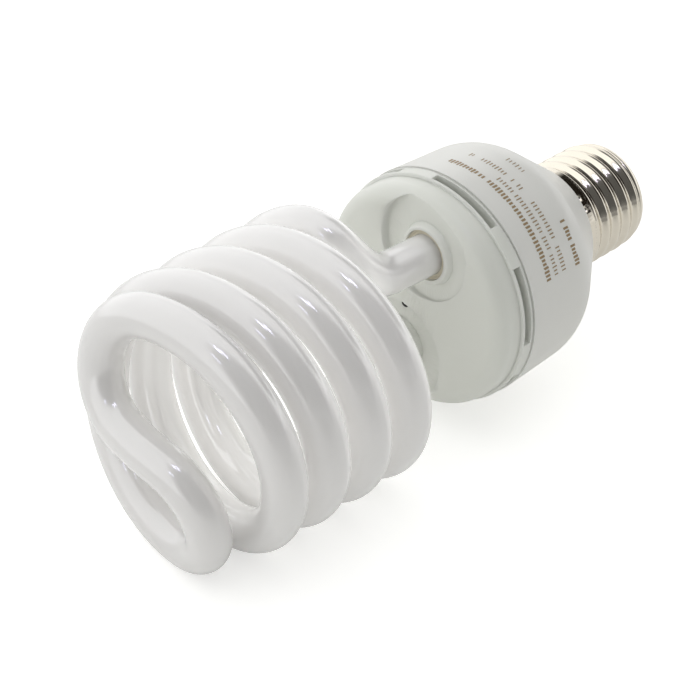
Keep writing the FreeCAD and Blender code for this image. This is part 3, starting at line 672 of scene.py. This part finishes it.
@dataclass(frozen=True)
class GlassSpiral:
    """The glass tube, swept by Geometry Nodes along the CAD model's path, in millimetres."""

    tube_r: float = 4.7
    coil_r: float = 26.44
    leave_turn: float = -0.013
    leg_turn: float = 3.849
    cross_angle: float = 14.24
    cross_x: float = -121.7
    face_x: float = -44.5
    leg: Tuple[float, float] = (-4.51, 13.38)
    lean: Tuple[float, float] = (-0.034, -0.017)
    leg_start: float = -55.53
    leg_end: float = -37.2
    coil_pull: float = 17.25
    leg_pull: float = 11.05
    sides: int = 40
    tip_steps: int = 60
    coil_steps: int = 340
    bend_steps: int = 50
    leg_steps: int = 12
    nudge: float = 0.0005

    def coil(self, turn: float) -> Vector:
        """Point of the coil.

        Args:
            turn: Half turns from the tip.

        Returns:
            The point.
        """
        angle = math.radians(TIP_ANGLE + 180 * turn)
        x = TIP_X + HALF_LEAD * turn
        return Vector((x, self.coil_r * math.cos(angle), self.coil_r * math.sin(angle)))

    def leg_axis(self, x: float) -> Vector:
        """Point of the straight leg at a station."""
        d = x - self.face_x
        return Vector((x, self.leg[0] + self.lean[0] * d, self.leg[1] + self.lean[1] * d))

    def leg_way(self) -> Vector:
        """Unit direction of the leg, towards the housing."""
        return Vector((1, *self.lean)).normalized()

    def tip(self, u: float) -> Vector:
        """Point of the bend that crosses the tip.

        Args:
            u: 0 where it leaves the coil, 1 on the axis.

        Returns:
            The point.
        """
        swing = math.radians(TIP_ANGLE + 180 * self.leave_turn - self.cross_angle)
        bend_r = self.coil_r * math.sin(swing) / (1 + math.sin(swing))
        reach = self.coil_r - bend_r
        arc = bend_r * (swing + math.pi / 2)
        total = arc + reach * math.cos(swing)
        s = u * total
        run, side = total - s, 0.0
        if s < arc:
            a = swing - s / bend_r
            run = reach * math.cos(swing) + bend_r * math.cos(a)
            side = reach * math.sin(swing) + bend_r * math.sin(a)
        along = math.radians(self.cross_angle)
        y = run * math.cos(along) - side * math.sin(along)
        z = run * math.sin(along) + side * math.cos(along)
        x0 = TIP_X + HALF_LEAD * self.leave_turn
        slope = -HALF_LEAD / (self.coil_r * math.pi) * total
        ease = u * u * (3 - 2 * u)
        x = x0 * (1 - ease) + slope * u * (1 - u) ** 2 + self.cross_x * ease
        return Vector((x, y, z))

    def bend(self, u: float) -> Vector:
        """Point of the bend from the coil to the leg.

        Args:
            u: 0 on the coil, 1 on the leg.

        Returns:
            The point.
        """
        p0, p3 = self.coil(self.leg_turn), self.leg_axis(self.leg_start)
        step = self.coil(self.leg_turn + self.nudge) - self.coil(self.leg_turn - self.nudge)
        p1 = p0 + step.normalized() * self.coil_pull
        p2 = p3 - self.leg_way() * self.leg_pull
        w = 1 - u
        return p0 * w ** 3 + p1 * (3 * w * w * u) + p2 * (3 * w * u * u) + p3 * u ** 3

    def arm(self) -> List[Vector]:
        """Follow one arm of the tube.

        Returns:
            Its stations, from the axis at the tip to the leg's end. Those on the coil wait at
            the origin for the recipe.
        """
        span = self.leg_end - self.leg_start
        points = [self.tip(1 - i / self.tip_steps) for i in range(self.tip_steps)]
        points += [Vector((0, 0, 0))] * (self.coil_steps + 1)
        for i in range(1, self.bend_steps + 1):
            points.append(self.bend(i / self.bend_steps))
        for i in range(1, self.leg_steps + 1):
            points.append(self.leg_axis(self.leg_start + span * i / self.leg_steps))
        return points

    def path(self) -> bpy.types.Mesh:
        """Join both arms to one line of edges.

        Returns:
            The line, in metres, from one leg's end to the other's.
        """
        arm = self.arm()
        mirror = [Vector((p.x, -p.y, -p.z)) for p in reversed(arm[1:])]
        points = [tuple(p * MM) for p in mirror + arm]
        mesh = bpy.data.meshes.new("glass_path")
        mesh.from_pydata(points, [(i, i + 1) for i in range(len(points) - 1)], [])
        return mesh

    def sizes(self) -> Dict[str, Number]:
        """Named inputs of the recipe.

        Returns:
            Their values, with lengths in metres and angles in radians.
        """
        return {
            "Tube radius": self.tube_r * MM, "Sides": self.sides,
            "Coil radius": self.coil_r * MM, "Half lead": HALF_LEAD * MM,
            "Tip station": TIP_X * MM, "Tip angle": math.radians(TIP_ANGLE),
            "First turn": self.leave_turn, "Last turn": self.leg_turn,
            "Tip steps": self.tip_steps, "Coil steps": self.coil_steps,
            "Middle": self.tip_steps + self.coil_steps + self.bend_steps + self.leg_steps}

    def recipe(self, material: bpy.types.Material) -> Recipe:
        """Wind the coil's stations on their helix and sweep the tube along the path.

        Args:
            material: The glass.

        Returns:
            The node group.
        """
        nodes = Recipe("glass_tube", self.sizes(), takes_path=True)
        pins = nodes.pins
        place = nodes.index() - pins["Middle"]
        step = place.size() - pins["Tip steps"]
        turns = pins["Last turn"] - pins["First turn"]
        turn = step / pins["Coil steps"] * turns + pins["First turn"]
        angle = turn * math.pi + pins["Tip angle"]
        reach = pins["Coil radius"] * place.sign()
        helix = nodes.vector(
            pins["Half lead"] * turn + pins["Tip station"], angle.cosine() * reach,
            angle.sine() * reach)
        half_step = 0.5
        on_coil = step.above(-half_step) * (pins["Coil steps"] - step).above(-half_step)
        line = nodes.node("GeometryNodeSetPosition", sockets={
            "Geometry": pins["Path"], "Selection": on_coil, "Position": helix})
        curve = nodes.node("GeometryNodeMeshToCurve", sockets={"Mesh": line.outputs[0]})
        profile = nodes.node(
            "GeometryNodeCurvePrimitiveCircle", {"mode": "RADIUS"},
            {"Resolution": pins["Sides"], "Radius": pins["Tube radius"]})
        tube = nodes.node("GeometryNodeCurveToMesh", sockets={
            "Curve": curve.outputs[0], "Profile Curve": profile.outputs[0], "Fill Caps": True})
        nodes.finish(tube.outputs[0], material)
        return nodes

    def build(self, palette: Palette) -> bpy.types.Object:
        """Make the whole tube.

        Args:
            palette: Source of materials.

        Returns:
            The tube.
        """
        mesh = self.recipe(palette.get(GLASS)).make(self.path(), self.sizes())
        mesh.name = "glass_spiral"
        turn_outward(mesh)
        shade_smooth(mesh)
        obj = link(mesh, "glass_spiral")
        palette.dress(obj, GLASS)
        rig.ride(obj, "root")
        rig.replaces(obj, "spiral_tube")
        return obj


@dataclass(frozen=True)
class LegBeads:
    """The cement seen in the gap between each leg and its collar, in millimetres."""

    station: float = -44.7
    sides: int = 48
    profile: Tuple[Tuple[float, float], ...] = (
        (1.2, 4.72), (0.0, 4.74), (0.35, 5.25), (0.1, 5.72), (1.2, 5.72))

    def ring(self, centre: Vector, axis: Vector, radius: float) -> List[Vector]:
        """Points of one circle square to the leg.

        Args:
            centre: Its centre.
            axis: The leg's direction.
            radius: Its radius.

        Returns:
            The points.
        """
        side = (Vector((0, 0, 1)) - axis * axis.z).normalized()
        other = axis.cross(side)
        turns = [2 * math.pi * j / self.sides for j in range(self.sides)]
        return [centre + (side * math.cos(a) + other * math.sin(a)) * radius for a in turns]

    def build(self, spiral: GlassSpiral, palette: Palette) -> bpy.types.Object:
        """Make both beads as one object.

        Args:
            spiral: The tube, for its legs.
            palette: Source of materials.

        Returns:
            The beads.
        """
        whole = bmesh.new()
        for way in (1, -1):
            loops: List[List[bmesh.types.BMVert]] = []
            for along, radius in self.profile:
                centre = spiral.leg_axis(self.station + along)
                points = self.ring(centre, spiral.leg_way(), radius)
                places = [(p.x * MM, p.y * way * MM, p.z * way * MM) for p in points]
                loops.append([whole.verts.new(place) for place in places])
            for i, loop in enumerate(loops):
                after = loops[(i + 1) % len(loops)]
                for j in range(self.sides):
                    k = (j + 1) % self.sides
                    whole.faces.new((loop[j], loop[k], after[k], after[j]))
        bmesh.ops.recalc_face_normals(whole, faces=whole.faces)
        mesh = bpy.data.meshes.new("leg_beads")
        whole.to_mesh(mesh)
        whole.free()
        obj = link(mesh, "leg_beads")
        palette.dress(obj, SILICONE)
        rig.ride(obj, "root")
        return obj


@dataclass(frozen=True)
class SmoothNode:
    """A carried-over CAD node with its facets smoothed."""

    node: str
    finish: Finish
    sharp_angle: float = 28.0
    weld: float = 0.000002
    sliver: float = 0.000001
    weight: int = 80

    def build(self, palette: Palette) -> bpy.types.Object:
        """Copy, weld and smooth the node.

        Args:
            palette: Source of materials.

        Returns:
            The shown copy.
        """
        mesh = frame["nodes"][self.node].data.copy()
        mesh.name = self.node + "_smooth"
        tidy = bmesh.new()
        tidy.from_mesh(mesh)
        bmesh.ops.remove_doubles(tidy, verts=tidy.verts, dist=self.weld)
        bmesh.ops.dissolve_degenerate(tidy, edges=tidy.edges, dist=self.sliver)
        bmesh.ops.recalc_face_normals(tidy, faces=tidy.faces)
        tidy.to_mesh(mesh)
        tidy.free()
        shade_smooth(mesh)
        mesh.set_sharp_from_angle(angle=math.radians(self.sharp_angle))
        obj = link(mesh, self.node + "_smooth")
        weighted = obj.modifiers.new("weighted", "WEIGHTED_NORMAL")
        weighted.keep_sharp = True
        weighted.weight = self.weight
        palette.dress(obj, self.finish)
        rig.ride(obj, "root")
        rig.replaces(obj, self.node)
        return obj


@dataclass(frozen=True)
class PrintRow:
    """A line of print: words between two angles, shown as upright strokes."""

    x: float
    height: float
    width: float
    words: Tuple[Tuple[float, float], ...]


@dataclass(frozen=True)
class PrintedDashes:
    """Rows of short strokes on the housing, made by Geometry Nodes."""

    pitch: float = 1.85
    mouth_x: float = -34.5
    mouth_r: float = 27.2
    shoulder_r: float = 26.3
    wall_len: float = 19.4
    ink_depth: float = 0.00004
    left_out: float = 0.12
    shortest: float = 0.55
    rows: Tuple[PrintRow, ...] = (
        PrintRow(-28.5, 1.7, 0.50, ((82, 98), (100.5, 121), (123, 140), (142, 160.5))),
        PrintRow(-25.8, 1.6, 0.28, ((107, 116), (119, 139), (142, 160))),
        PrintRow(
            -23.2, 1.5, 0.28, ((84.5, 86), (92, 106), (111, 120.5), (125.5, 144), (149, 160))),
        PrintRow(-18.7, 1.9, 0.50, ((139.5, 161),)),
        PrintRow(-18.7, 1.6, 0.22, ((99, 109),)),
    )

    def radius_at(self, x: float) -> float:
        """Outer radius of the cup's straight wall, in millimetres."""
        return self.mouth_r - (x - self.mouth_x) * (self.mouth_r - self.shoulder_r) / self.wall_len

    def draw(self, nodes: Recipe, low: float) -> Wire:
        """Draw a random number for each stroke.

        Args:
            nodes: The node group.
            low: Lowest number; the highest is 1.

        Returns:
            The number.
        """
        sockets = {"Min": low, "Max": 1.0, "Seed": nodes.pins["Seed"]}
        made = nodes.node("FunctionNodeRandomValue", {"data_type": "FLOAT"}, sockets)
        return Wire(nodes, made.outputs[1])

    def sizes(self, row: PrintRow, ends: Tuple[float, float], seed: int) -> Dict[str, Number]:
        """Named inputs of the recipe for one word.

        Args:
            row: The line of print that the word is in.
            ends: Angles where the word starts and stops, in degrees.
            seed: Seed of its random draws.

        Returns:
            Their values, with lengths in metres and angles in radians.
        """
        first, last = ends
        count = max(round((last - first) / self.pitch), 1) + 1
        return {
            "Count": count, "Pitch": math.radians((last - first) / (count - 1)),
            "Start": math.radians(first), "Radius": self.radius_at(row.x) * MM,
            "Station": row.x * MM, "Height": row.height * MM, "Width": row.width * MM,
            "Seed": seed}

    def recipe(self, sizes: Dict[str, Number], material: bpy.types.Material) -> Recipe:
        """Set thin plates side by side on a circle round the housing.

        Args:
            sizes: First values of the named inputs.
            material: Finish of the plates.

        Returns:
            The node group.
        """
        nodes = Recipe("print_word", sizes)
        pins = nodes.pins
        line = nodes.node("GeometryNodeMeshLine", sockets={"Count": pins["Count"]})
        angle = nodes.index() * pins["Pitch"] + pins["Start"]
        radius = pins["Radius"]
        place = nodes.vector(pins["Station"], angle.cosine() * radius, angle.sine() * radius)
        points = nodes.node(
            "GeometryNodeSetPosition", sockets={"Geometry": line.outputs[0], "Position": place})
        size = nodes.vector(pins["Height"], pins["Width"], self.ink_depth)
        plate = nodes.node("GeometryNodeMeshCube", sockets={"Size": size})
        spread = nodes.node("GeometryNodeInstanceOnPoints", sockets={
            "Points": points.outputs[0], "Selection": self.draw(nodes, 0.0).above(self.left_out),
            "Instance": plate.outputs[0], "Rotation": nodes.vector(angle - math.pi / 2),
            "Scale": nodes.vector(self.draw(nodes, self.shortest), 1.0, 1.0)})
        nodes.finish(spread.outputs[0], material)
        return nodes

    def build(self, palette: Palette) -> bpy.types.Object:
        """Make every row and join them into one object.

        Args:
            palette: Source of materials.

        Returns:
            The printed dashes.
        """
        words = [(row, ends) for row in self.rows for ends in row.words]
        sizes = [self.sizes(row, ends, seed) for seed, (row, ends) in enumerate(words)]
        recipe = self.recipe(sizes[0], palette.get(INK))
        whole = bmesh.new()
        for values in sizes:
            whole.from_mesh(recipe.make(bpy.data.meshes.new("word"), values))
        mesh = bpy.data.meshes.new("printed_dashes")
        bmesh.ops.recalc_face_normals(whole, faces=whole.faces)
        whole.to_mesh(mesh)
        whole.free()
        obj = link(mesh, "printed_dashes")
        palette.dress(obj, INK)
        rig.ride(obj, "root")
        return obj


@dataclass(frozen=True)
class HiddenParts:
    """Nodes that are shown as they are, with their finishes."""

    finishes: Tuple[Tuple[str, Finish], ...] = (
        ("leg_cement", SILICONE), ("circuit_board", LAMINATE), ("choke_core", FERRITE),
        ("choke_bobbin", NYLON), ("choke_winding", COPPER), ("drive_toroid", FERRITE),
        ("toroid_windings", COPPER), ("bulk_capacitor", CAN), ("bulk_capacitor_seal", SEAL),
        ("resonance_capacitor", FILM), ("coupling_capacitor", FILM),
        ("switch_transistors", EPOXY), ("rectifier_diodes", EPOXY), ("input_choke", FERRITE),
        ("input_choke_winding", COPPER), ("fuse_resistor", LACQUER),
        ("small_resistors", LACQUER), ("diac", DIAC), ("wire_posts", TIN),
        ("tube_lead_wires", LEADS), ("live_wire", RED_SKIN), ("neutral_wire", BLACK_SKIN),
    )

    def build(self, palette: Palette) -> int:
        """Dress every hidden node.

        Args:
            palette: Source of materials.

        Returns:
            How many there are.
        """
        for node, finish in self.finishes:
            palette.dress(frame["nodes"][node], finish)
        return len(self.finishes)


@dataclass(frozen=True)
class Patch:
    """A round dark patch of the surroundings, seen in sharp reflections."""

    way: Way
    rim: float
    edge: float
    depth: float

    def open_sky(self, parts: Sequence[Wire]) -> Wire:
        """Share of the light that the patch lets through.

        Args:
            parts: Components of the ray's direction.

        Returns:
            The share, 1 away from the patch.
        """
        shade = ((toward(parts, self.way) - self.rim) / self.edge).clamp()
        return 1 - shade * self.depth


@dataclass(frozen=True)
class Card:
    """A flat light or dark card, in metres, that only sharp reflections see."""

    name: str
    seen_from: Way
    direction: Way
    distance: float
    size: Tuple[float, float]
    colour: Colour
    power: float
    soft: float = 0.0

    def build(self) -> bpy.types.Object:
        """Place the card.

        Returns:
            The card.
        """
        w, h = self.size[0] / 2, self.size[1] / 2
        way = Vector(self.direction).normalized()
        along = (Vector((1, 0, 0)) - way * way.x).normalized()
        across = way.cross(along)
        centre = Vector(self.seen_from) + way * self.distance
        places = ((-w, -h), (w, -h), (w, h), (-w, h))
        corners = [tuple(centre + along * a + across * b) for a, b in places]
        mesh = sheet(self.name, corners)
        kit = ShaderKit(self.name)
        kit.shade({
            "Base Color": (*BLACK, 1.0), "Specular IOR Level": 0.0,
            "Emission Color": (*self.colour, 1.0), "Emission Strength": self.power})
        if self.soft > 0:
            kit.shade({"Alpha": self.fade(kit, centre, ((along, w), (across, h)))})
        mesh.materials.append(kit.material)
        obj = link(mesh, self.name)
        obj.visible_camera = False
        obj.visible_diffuse = False
        obj.visible_shadow = False
        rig.stage(obj)
        return obj

    def fade(
            self, kit: ShaderKit, centre: Vector, spans: Sequence[Tuple[Vector, float]]) -> Wire:
        """Soften the card's edges.

        Args:
            kit: The material's kit.
            centre: The card's centre.
            spans: Its two ways, each with half its size along it.

        Returns:
            A value that falls from 1 to 0 towards the edges.
        """
        parts = [kit.component(axis) for axis in Axis]
        left = kit.constant(1.0)
        for way, half in spans:
            off = toward(parts, way) - centre.dot(way)
            left = left * ((half - (off * off).root()) / self.soft).clamp()
        return left


LILAC: Colour = (0.76, 0.74, 1.0)
COIL_CENTRE: Way = (-0.055, 0.0, 0.0)


@dataclass(frozen=True)
class Studio:
    """Floor, cards, world light and camera, in metres."""

    floor_z: float = -0.0312
    floor_reach: float = 3.0
    floor_colour: Colour = (0.92, 0.92, 0.90)
    floor_glow: float = 0.12
    floor_white: float = 0.34
    cards: Tuple[Card, ...] = (
        Card("pane_a", COIL_CENTRE, (-0.17, -0.30, 0.93), 0.9, (0.07, 0.13), LILAC, 9.0),
        Card("pane_b", COIL_CENTRE, (-0.04, -0.38, 0.93), 0.9, (0.07, 0.13), LILAC, 9.0),
        Card("pane_c", COIL_CENTRE, (-0.66, -0.31, 0.68), 0.9, (0.05, 0.12), LILAC, 6.0),
        Card(
            "front_shade", (-0.06, 0.0, 0.0), (-0.15, -0.94, -0.12), 0.22, (0.44, 0.15),
            (0.3, 0.3, 0.3), 1.0, 0.06),
        Card(
            "low_shade", (-0.10, -0.17, 0.0), (0.0, 0.0, -1.0), 0.0305, (0.32, 0.28),
            (0.35, 0.35, 0.34), 1.0, 0.13),
        Card(
            "cap_shade", (0.012, 0.0, 0.0), (0.62, -0.22, 0.74), 0.12, (0.14, 0.22),
            (0.012, 0.009, 0.006), 1.0, 0.04),
    )
    light_way: Way = (0.05, 0.50, 0.86)
    base: float = 0.315
    gain: float = 1.02
    near_bright: float = 1.5
    far_bright: float = 1.35
    far_start: float = 0.52
    far_soft: float = 0.10
    white: float = 1.1
    patches: Tuple[Patch, ...] = (Patch((-0.12, -0.92, 0.34), 0.48, 0.26, 0.92),)
    eye: Way = (-0.3509, -0.2837, 0.2647)
    look: Way = (0.59258, 0.58440, -0.55437)
    sensor: float = 36.0
    lens: float = 116.57
    clip_start: float = 0.01

    def floor(self) -> bpy.types.Object:
        """Make the white floor.

        Returns:
            The floor.
        """
        r, z = self.floor_reach, self.floor_z
        mesh = sheet("floor", [(-r, -r, z), (r, -r, z), (r, r, z), (-r, r, z)])
        kit = ShaderKit("floor white")
        kit.shade({
            "Base Color": (*self.floor_colour, 1.0), "Roughness": 1.0, "Specular IOR Level": 0.0})
        strength = kit.ray(Ray.CAMERA) * self.floor_white + self.floor_glow
        glow = kit.node("ShaderNodeEmission", sockets={"Strength": strength})
        both = kit.node(
            "ShaderNodeAddShader", sockets={0: kit.shader.outputs[0], 1: glow.outputs[0]})
        kit.feed(kit.tree.nodes["Material Output"].inputs["Surface"], both.outputs[0])
        mesh.materials.append(kit.material)
        obj = link(mesh, "floor")
        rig.stage(obj)
        return obj

    def world(self) -> None:
        """Make the bright tent: soft light from above, dark patches in sharp reflections."""
        world = bpy.data.worlds.new("studio")
        bpy.context.scene.world = world
        world.use_nodes = True
        sky = Graph(world.node_tree)
        way = sky.node("ShaderNodeTexCoord").outputs["Generated"]
        split = sky.node("ShaderNodeSeparateXYZ", sockets={0: way})
        parts = [Wire(sky, split.outputs[axis.value]) for axis in Axis]
        soft = (toward(parts, self.light_way) * self.gain + self.base).clamp()
        clear = sky.constant(1.0)
        for patch in self.patches:
            clear = clear * patch.open_sky(parts)
        near = ((self.far_start - parts[0]) / self.far_soft).clamp()
        clear = clear * (near * (self.near_bright - self.far_bright) + self.far_bright)
        sharp, seen = sky.ray(Ray.SHARP), sky.ray(Ray.CAMERA)
        light = soft * (1 - sharp) + clear * sharp
        back = sky.tree.nodes["Background"]
        sky.feed(back.inputs["Color"], (1.0, 1.0, 1.0, 1.0))
        sky.feed(back.inputs["Strength"], light * (1 - seen) + seen * self.white)

    def camera(self) -> None:
        """Set the camera that matches the photo."""
        data = bpy.data.cameras.new("camera")
        data.sensor_width = self.sensor
        data.lens = self.lens
        data.clip_start = self.clip_start
        obj = bpy.data.objects.new("camera", data)
        obj.location = self.eye
        obj.rotation_euler = Vector(self.look).to_track_quat("-Z", "Y").to_euler()
        bpy.context.scene.collection.objects.link(obj)
        bpy.context.scene.camera = obj

    def build(self) -> None:
        """Set up the whole studio."""
        self.floor()
        for card in self.cards:
            card.build()
        self.world()
        self.camera()
        bpy.context.scene.view_settings.view_transform = "Standard"


def record_size(stage: str) -> None:
    """Args:
        stage: Where the script is, "loaded" or "finished".
    """
    low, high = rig.bounds()
    path = "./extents.json"
    kept: Dict[str, object] = {}
    if stage != "loaded":
        with open(path) as handle:
            kept = json.load(handle)
    kept[stage] = {"low": list(low), "high": list(high)}
    with open(path, "w") as handle:
        json.dump(kept, handle)


def main() -> None:
    """Build every piece in order."""
    logging.basicConfig(level=logging.INFO, format="%(message)s")
    record_size("loaded")
    palette = Palette()
    spiral = GlassSpiral()
    tube = spiral.build(palette)
    LOG.info("glass spiral: %d faces", len(tube.data.polygons))
    beads = LegBeads().build(spiral, palette)
    LOG.info("leg beads: %d faces", len(beads.data.polygons))
    for node, finish in (
            ("tube_holder", COVER), ("housing_cup", HOUSING), ("screw_shell", NICKEL),
            ("cap_insulator", INSULATOR), ("centre_contact", TIN)):
        piece = SmoothNode(node, finish).build(palette)
        LOG.info("%s: %d faces", node, len(piece.data.polygons))
    LOG.info("hidden nodes: %d", HiddenParts().build(palette))
    dashes = PrintedDashes().build(palette)
    LOG.info("printed dashes: %d faces", len(dashes.data.polygons))
    Studio().build()
    record_size("finished")


if __name__ == "__main__":
    main()
